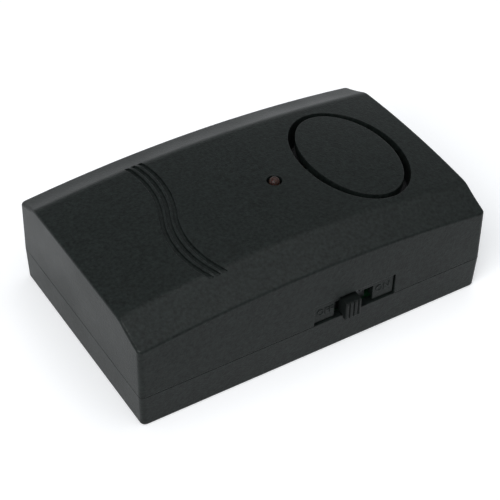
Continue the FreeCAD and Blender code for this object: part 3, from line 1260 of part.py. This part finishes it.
def board_screws():
    """Four small screws through the board into its posts."""
    screws = []
    for number, (x, y) in enumerate(board_hole_places(), start=1):
        head = cylinder(f"board_screw_head_{number}", (x, y, BOARD_TOP), "Sizes.board_screw_head",
                        "Sizes.board_screw_head_height")
        shank = cylinder(f"board_screw_shank_{number}",
                         (x, y, f"{BOARD_TOP} - Sizes.board_screw_length"),
                         "Sizes.post_pilot - Sizes.screw_clearance", "Sizes.board_screw_length")
        high = f"{BOARD_TOP} + Sizes.board_screw_head_height"
        cross = driver_cross(f"board_cross_{number}", x, y, (f"{high} - Sizes.cross_depth", f"{high} + 1"),
                             "Sizes.board_screw_head * 0.6")
        screws.append(cut(f"board_screw_{number}", fuse(f"board_screw_solid_{number}", [head, shank]),
                          cross))
    return group("board_screws", screws)


sub_parts = [
    upper_shell(), lower_shell(), battery_door(), switch_knob(), switch_slider(), switch_frame(),
    switch_base(), circuit_board(), led_lens(), *led_parts(), *leg_groups(), chip_body(), coil_core(),
    coil_winding(), capacitor(), driver_transistor(), *resistors(), *vibration_sensor(), *siren_parts(),
    *wires(), *battery(), snap_connector(), case_screws(), board_screws(),
]
doc.recompute()

# Every object must have come out right before a sub-part is written
for obj in doc.Objects:
    if "Invalid" in obj.State or "Error" in obj.State:
        raise RuntimeError(f"{obj.Label} failed: {obj.State}")
for obj in sub_parts:
    if obj.Shape.isNull() or not obj.Shape.isValid():
        raise RuntimeError(f"{obj.Label} has no valid shape")
for obj in sub_parts:
    obj.Shape.exportStep(f"parts/{obj.Label}.step")
    print(obj.Label, len(obj.Shape.Solids), round(obj.Shape.Volume, 1))
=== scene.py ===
"""Looks of a matt black vibration alarm on a white studio floor, in metres, in the frame of its CAD model."""
import math

import bpy
from mathutils import Matrix, Vector


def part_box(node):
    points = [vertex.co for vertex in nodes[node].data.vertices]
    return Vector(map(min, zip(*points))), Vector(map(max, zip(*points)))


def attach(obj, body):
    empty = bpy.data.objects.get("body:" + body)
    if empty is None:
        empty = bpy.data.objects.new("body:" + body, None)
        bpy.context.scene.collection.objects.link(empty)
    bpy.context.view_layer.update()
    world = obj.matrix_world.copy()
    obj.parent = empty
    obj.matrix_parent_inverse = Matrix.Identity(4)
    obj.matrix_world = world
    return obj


MM = 0.001

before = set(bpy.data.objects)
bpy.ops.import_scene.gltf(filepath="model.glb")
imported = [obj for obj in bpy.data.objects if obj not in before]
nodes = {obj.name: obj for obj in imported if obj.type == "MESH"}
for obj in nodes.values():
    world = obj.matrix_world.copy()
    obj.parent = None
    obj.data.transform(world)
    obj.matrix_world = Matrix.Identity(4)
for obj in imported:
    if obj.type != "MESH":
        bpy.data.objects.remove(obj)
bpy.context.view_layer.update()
case_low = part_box("upper_shell")[0]


# Materials
class Recipe:
    """A material's node tree with short calls for the nodes that its recipe needs."""

    def __init__(self, name):
        self.material = bpy.data.materials.new(name)
        self.material.use_nodes = True
        self.tree = self.material.node_tree
        self.shader = self.tree.nodes["Principled BSDF"]
        self.place = self.add("ShaderNodeTexCoord").outputs["Object"]

    def add(self, kind, inputs=None, **attributes):
        """A new node with the given input values and attributes."""
        node = self.tree.nodes.new(kind)
        for key, value in attributes.items():
            setattr(node, key, value)
        for key, value in (inputs or {}).items():
            node.inputs[key].default_value = value
        return node

    def link(self, output, target):
        self.tree.links.new(output, target)

    def set(self, **values):
        for key, value in values.items():
            self.shader.inputs[key.replace("_", " ")].default_value = value

    def noise(self, size, detail=2.0, stretch=(1, 1, 1)):
        """Noise between 0 and 1 whose features are about size metres wide."""
        mapping = self.add("ShaderNodeMapping", {"Scale": stretch})
        self.link(self.place, mapping.inputs["Vector"])
        node = self.add("ShaderNodeTexNoise", {"Scale": 1 / size, "Detail": detail})
        self.link(mapping.outputs["Vector"], node.inputs["Vector"])
        return node.outputs["Fac"]

    def spread(self, source, low, high, start=0.3, end=0.7):
        """The source's range start to end mapped to low to high."""
        ranges = {"From Min": start, "From Max": end, "To Min": low, "To Max": high}
        node = self.add("ShaderNodeMapRange", ranges)
        self.link(source, node.inputs["Value"])
        return node.outputs["Result"]

    def tint(self, source, dark, light):
        """A colour between two shades, driven by a source."""
        node = self.add("ShaderNodeValToRGB")
        for step, position, shade in zip(node.color_ramp.elements, (0.3, 0.7), (dark, light)):
            step.position = position
            step.color = (*shade, 1)
        self.link(source, node.inputs["Fac"])
        self.link(node.outputs["Color"], self.shader.inputs["Base Color"])

    def rough(self, source, low, high):
        """Roughness between low and high, driven by a source."""
        self.link(self.spread(source, low, high), self.shader.inputs["Roughness"])

    def bump(self, source, depth, strength=1.0, edge=0):
        """Relief of the given depth in metres, on edges that look rounded to the edge radius."""
        node = self.add("ShaderNodeBump", {"Distance": depth, "Strength": strength})
        if edge:
            rounding = self.add("ShaderNodeBevel", {"Radius": edge}, samples=4)
            self.link(rounding.outputs["Normal"], node.inputs["Normal"])
        self.link(source, node.inputs["Height"])
        self.link(node.outputs["Normal"], self.shader.inputs["Normal"])


MOULDED_EDGE = 0.35 * MM


def shades(colour, change):
    """A darker and a lighter version of a colour."""
    return tuple(c * (1 - change) for c in colour), tuple(c * (1 + change) for c in colour)


def moulded(name, colour, roughness=0.5, grain=0.35 * MM, relief=0.012 * MM, change=0.12, specular=0.5):
    """Moulded plastic with a fine spark-eroded grain and faint clouds of wear in its sheen."""
    recipe = Recipe(name)
    recipe.set(Specular_IOR_Level=specular)
    recipe.tint(recipe.noise(0.9 * MM, 4), *shades(colour, change))
    recipe.rough(recipe.noise(14 * MM, 3), roughness - 0.04, roughness + 0.04)
    recipe.bump(recipe.noise(grain, 3), relief, edge=MOULDED_EDGE)
    return recipe.material


def metal(name, colour, roughness=0.3, stretch=(1, 1, 12), change=0.1):
    """Bare metal with drawn streaks and clouded sheen."""
    recipe = Recipe(name)
    recipe.set(Metallic=1.0)
    recipe.tint(recipe.noise(2.5 * MM, 3), *shades(colour, change))
    recipe.rough(recipe.noise(1.2 * MM, 3, stretch), roughness - 0.08, roughness + 0.1)
    recipe.bump(recipe.noise(0.4 * MM, 2, stretch), 0.004 * MM)
    return recipe.material


def coated(name, colour, roughness=0.35, change=0.1):
    """Lacquer, sleeve or painted sheet: smooth, with a little orange peel."""
    recipe = Recipe(name)
    recipe.set(Coat_Weight=0.3, Coat_Roughness=0.2)
    recipe.tint(recipe.noise(3 * MM, 3), *shades(colour, change))
    recipe.rough(recipe.noise(5 * MM, 2), roughness - 0.06, roughness + 0.06)
    recipe.bump(recipe.noise(1.1 * MM, 1), 0.004 * MM)
    return recipe.material


def lamp_red():
    """Diffused dull red epoxy, a little cloudy and darker where it is thick."""
    recipe = Recipe("lamp_red")
    recipe.set(Subsurface_Weight=0.35, Subsurface_Scale=0.6 * MM, Specular_IOR_Level=0.2)
    recipe.tint(recipe.noise(0.8 * MM, 2), (0.028, 0.013, 0.0105), (0.038, 0.019, 0.016))
    recipe.rough(recipe.noise(0.7 * MM, 2), 0.28, 0.38)
    recipe.bump(recipe.noise(0.5 * MM, 2), 0.003 * MM)
    return recipe.material


def board_green():
    """Green solder mask over the weave of glass laminate."""
    recipe = Recipe("board_green")
    recipe.set(Coat_Weight=0.4, Coat_Roughness=0.15)
    recipe.tint(recipe.noise(2.2 * MM, 4), (0.008, 0.055, 0.022), (0.018, 0.10, 0.038))
    recipe.rough(recipe.noise(4 * MM, 2), 0.3, 0.42)
    weave = recipe.add("ShaderNodeTexChecker", {"Scale": 1 / (0.45 * MM)})
    recipe.link(recipe.place, weave.inputs["Vector"])
    recipe.bump(weave.outputs["Fac"], 0.006 * MM, 0.5)
    return recipe.material


MATERIALS = {
    "case": (moulded("case_black", (0.0084, 0.0114, 0.0105), roughness=0.36, grain=0.5 * MM,
                     relief=0.06 * MM, change=0.5, specular=0.19),
             ["upper_shell", "lower_shell", "battery_door"]),
    "knob": (moulded("knob_black", (0.007, 0.009, 0.0085), roughness=0.45, grain=0.5 * MM, specular=0.19),
             ["switch_knob"]),
    "lamp": (lamp_red(), ["led_lens"]),
    "inner": (moulded("inner_black", (0.030, 0.030, 0.032), roughness=0.55),
              ["led_spacer", "siren_housing", "snap_connector", "sensor_base", "sensor_cover"]),
    "acetal": (moulded("slider_black", (0.02, 0.02, 0.021), roughness=0.5), ["switch_slider"]),
    "laminate": (moulded("base_brown", (0.17, 0.075, 0.03), roughness=0.6), ["switch_base"]),
    "board": (board_green(), ["circuit_board"]),
    "tinned": (metal("tinned_wire", (0.62, 0.62, 0.60)),
               ["led_legs", "chip_legs", "switch_legs", "coil_legs", "capacitor_legs", "transistor_legs",
                "resistor_wires", "sensor_pin"]),
    "zinc": (metal("zinc_steel", (0.50, 0.52, 0.55), roughness=0.34), ["case_screws", "board_screws"]),
    # Switch frame: its plated steel is painted dark as painted shade for the dim inside of the case, which
    # also keeps a lamp's reflection off it
    "sheet": (metal("frame_steel", (0.16, 0.165, 0.17), roughness=0.45, stretch=(12, 1, 1)),
              ["switch_frame"]),
    "brass": (metal("brass_plate", (0.62, 0.42, 0.14), roughness=0.32, stretch=(1, 10, 1)), ["piezo_plate"]),
    "ceramic": (moulded("ceramic_disc", (0.58, 0.55, 0.47), roughness=0.5), ["piezo_ceramic"]),
    "epoxy": (moulded("chip_epoxy", (0.015, 0.015, 0.016), roughness=0.5, grain=0.2 * MM),
              ["chip_body", "driver_transistor"]),
    "ferrite": (moulded("ferrite", (0.035, 0.035, 0.038), roughness=0.55), ["coil_core"]),
    "copper": (metal("enamelled_copper", (0.45, 0.14, 0.045), roughness=0.25, stretch=(1, 1, 30)),
               ["coil_winding"]),
    "sleeve": (coated("capacitor_sleeve", (0.010, 0.022, 0.09)), ["capacitor"]),
    "lacquer": (coated("resistor_coat", (0.46, 0.32, 0.15)), ["resistor_bodies"]),
    "spring": (metal("spring_wire", (0.60, 0.46, 0.22), roughness=0.25), ["sensor_spring"]),
    "wire": (coated("wire_sleeve", (0.24, 0.006, 0.006), roughness=0.45), ["battery_leads", "siren_wires"]),
    "can": (coated("battery_can", (0.022, 0.024, 0.03)), ["battery_can"]),
    "wrap": (moulded("cell_wrap", (0.035, 0.03, 0.028), roughness=0.6), ["battery_cells"]),
    "end": (moulded("battery_end", (0.02, 0.02, 0.02), roughness=0.45), ["battery_end"]),
    "terminal": (metal("terminal_metal", (0.68, 0.67, 0.63), roughness=0.22), ["battery_terminals"]),
}
for material, names in MATERIALS.values():
    for name in names:
        mesh = nodes[name].data
        mesh.materials.clear()
        mesh.materials.append(material)


# Raised words on the two sunk pads of the switch window
PAD_DEPTH = 0.5 * MM
PAD_FACE_Y = case_low[1] + PAD_DEPTH
WORD_HEIGHT = 2.0 * MM
WORD_RELIEF = 0.22 * MM
WORD_ROUNDING = 0.04 * MM
STROKE_SWELL = 0.03 * MM
FONT_SIZE_SHARE = 1.42


def raised_word(name, text, centre):
    """A word standing out of the front wall towards -Y, as a mesh piece on the case."""
    curve = bpy.data.curves.new(name + "_curve", "FONT")
    curve.body = text
    curve.align_x = "CENTER"
    curve.align_y = "CENTER"
    curve.size = WORD_HEIGHT * FONT_SIZE_SHARE
    curve.space_character = 1.05
    curve.extrude = WORD_RELIEF / 2
    curve.bevel_depth = WORD_ROUNDING
    curve.offset = STROKE_SWELL
    maker = bpy.data.objects.new(name + "_maker", curve)
    bpy.context.scene.collection.objects.link(maker)
    bpy.context.view_layer.update()
    mesh = bpy.data.meshes.new_from_object(maker.evaluated_get(bpy.context.evaluated_depsgraph_get()))
    bpy.data.objects.remove(maker)
    mesh.name = name
    mesh.transform(Matrix.Translation(Vector(centre)) @ Matrix.Rotation(math.radians(90), 4, "X"))
    mesh.materials.clear()
    mesh.materials.append(MATERIALS["case"][0])
    piece = bpy.data.objects.new(name, mesh)
    bpy.context.scene.collection.objects.link(piece)
    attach(piece, "case")


raised_word("word_off", "OFF", (1.9 * MM, PAD_FACE_Y, 13.7 * MM))
raised_word("word_on", "ON", (19.9 * MM, PAD_FACE_Y, 13.85 * MM))


# Floor, whose emission lifts it where it is seen directly or in a reflection
FLOOR_HALF = 3.0
SEEN_LIFT = 0.27
MIRRORED_LIFT = 0.05


def floor_material():
    """White paper, diffuse and almost even."""
    recipe = Recipe("paper_white")
    recipe.tint(recipe.noise(60 * MM, 2), (0.86, 0.865, 0.875), (0.88, 0.885, 0.895))
    recipe.rough(recipe.noise(5 * MM, 2), 0.85, 0.95)
    recipe.set(Specular_IOR_Level=0.1, Emission_Color=(1, 1, 1, 1))
    path = recipe.add("ShaderNodeLightPath")
    mirrored = recipe.add("ShaderNodeMath", operation="MAXIMUM")
    recipe.link(path.outputs["Is Glossy Ray"], mirrored.inputs[0])
    recipe.link(path.outputs["Is Transmission Ray"], mirrored.inputs[1])
    in_mirror = recipe.add("ShaderNodeMath", {1: MIRRORED_LIFT}, operation="MULTIPLY")
    recipe.link(mirrored.outputs[0], in_mirror.inputs[0])
    lift = recipe.add("ShaderNodeMath", {1: SEEN_LIFT}, operation="MULTIPLY_ADD")
    recipe.link(path.outputs["Is Camera Ray"], lift.inputs[0])
    recipe.link(in_mirror.outputs[0], lift.inputs[2])
    recipe.link(lift.outputs[0], recipe.shader.inputs["Emission Strength"])
    return recipe.material


floor_mesh = bpy.data.meshes.new("floor")
corners = [(x * FLOOR_HALF, y * FLOOR_HALF, 0) for x, y in ((-1, -1), (1, -1), (1, 1), (-1, 1))]
floor_mesh.from_pydata(corners, [], [(0, 1, 2, 3)])
floor_mesh.materials.append(floor_material())
floor = bpy.data.objects.new("floor", floor_mesh)
bpy.context.scene.collection.objects.link(floor)


# Light: place, side and power of each square lamp
LAMPS = {
    "top_lamp": ((0.45, -0.35, 1.4), 1.4, 3.1),
    "left_lamp": ((-0.85, -0.45, 0.95), 0.8, 9.2),
    "crest_lamp": ((0.42, 0.33, 1.40), 0.35, 0.9),
}

for name, (place, side, power) in LAMPS.items():
    data = bpy.data.lights.new(name, "AREA")
    data.shape = "SQUARE"
    data.size = side
    data.energy = power
    lamp = bpy.data.objects.new(name, data)
    lamp.location = place
    lamp.rotation_euler = (-Vector(place)).to_track_quat("-Z", "Y").to_euler()
    bpy.context.scene.collection.objects.link(lamp)

# Tones of the room along its climb, which runs from low behind the object (0) to above it (1)
ROOM_CLIMB = (0, -0.3, 1)
CLIMB_START = -0.4
CLIMB_END = 1.1
ROOM_TONES = [(0, 0.60), (0.07, 0.26), (0.22, 1.0), (0.33, 0.22), (0.47, 0.36), (0.52, 0.33), (0.575, 0.25),
              (0.67, 0.23), (1, 0.97)]
COOL_TINT = (1, 1.03, 1.06)


def studio_world():
    """A world that is plain white to the camera and lights the object with the room's tones."""
    world = bpy.data.worlds.new("studio")
    world.use_nodes = True
    air = world.node_tree
    air.nodes.clear()
    direction = air.nodes.new("ShaderNodeTexCoord")
    climb = air.nodes.new("ShaderNodeVectorMath")
    climb.operation = "DOT_PRODUCT"
    climb.inputs[1].default_value = ROOM_CLIMB
    air.links.new(direction.outputs["Generated"], climb.inputs[0])
    share = air.nodes.new("ShaderNodeMapRange")
    share.inputs["From Min"].default_value = CLIMB_START
    share.inputs["From Max"].default_value = CLIMB_END
    air.links.new(climb.outputs["Value"], share.inputs["Value"])
    ramp = air.nodes.new("ShaderNodeValToRGB")
    steps = ramp.color_ramp.elements
    ends = {0: 0, 1: -1}
    for height, grey in ROOM_TONES:
        step = steps[ends[height]] if height in ends else steps.new(height)
        step.color = (*(grey * part for part in COOL_TINT), 1)
    air.links.new(share.outputs["Result"], ramp.inputs["Fac"])
    room = air.nodes.new("ShaderNodeBackground")
    air.links.new(ramp.outputs["Color"], room.inputs["Color"])
    white = air.nodes.new("ShaderNodeBackground")
    white.inputs["Color"].default_value = (1, 1, 1, 1)
    path = air.nodes.new("ShaderNodeLightPath")
    mix = air.nodes.new("ShaderNodeMixShader")
    air.links.new(path.outputs["Is Camera Ray"], mix.inputs["Fac"])
    air.links.new(room.outputs[0], mix.inputs[1])
    air.links.new(white.outputs[0], mix.inputs[2])
    output = air.nodes.new("ShaderNodeOutputWorld")
    air.links.new(mix.outputs[0], output.inputs["Surface"])
    return world


bpy.context.scene.world = studio_world()


# Camera, solved from the corners of the photographed case
CAMERA_PLACE = Vector((-171.56, -268.46, 292.13)) * MM
CAMERA_RIGHT = Vector((0.85216, -0.52294, 0.01884))
CAMERA_FORWARD = Vector((0.4025, 0.63204, -0.6622))
FOCAL_PIXELS = 1575.58
FRAME_PIXELS = 500


def photo_camera():
    """The camera at the photograph's place, angle and focal length."""
    forward = CAMERA_FORWARD.normalized()
    right = (CAMERA_RIGHT - CAMERA_RIGHT.dot(forward) * forward).normalized()
    up = right.cross(forward)
    data = bpy.data.cameras.new("camera")
    data.sensor_width = 36
    data.lens = FOCAL_PIXELS / FRAME_PIXELS * data.sensor_width
    data.clip_start = 0.01
    camera = bpy.data.objects.new("camera", data)
    turn = Matrix((right, up, -forward)).transposed().to_4x4()
    camera.matrix_world = Matrix.Translation(CAMERA_PLACE) @ turn
    bpy.context.scene.collection.objects.link(camera)
    return camera


bpy.context.scene.camera = photo_camera()
bpy.context.scene.view_settings.view_transform = "Standard"
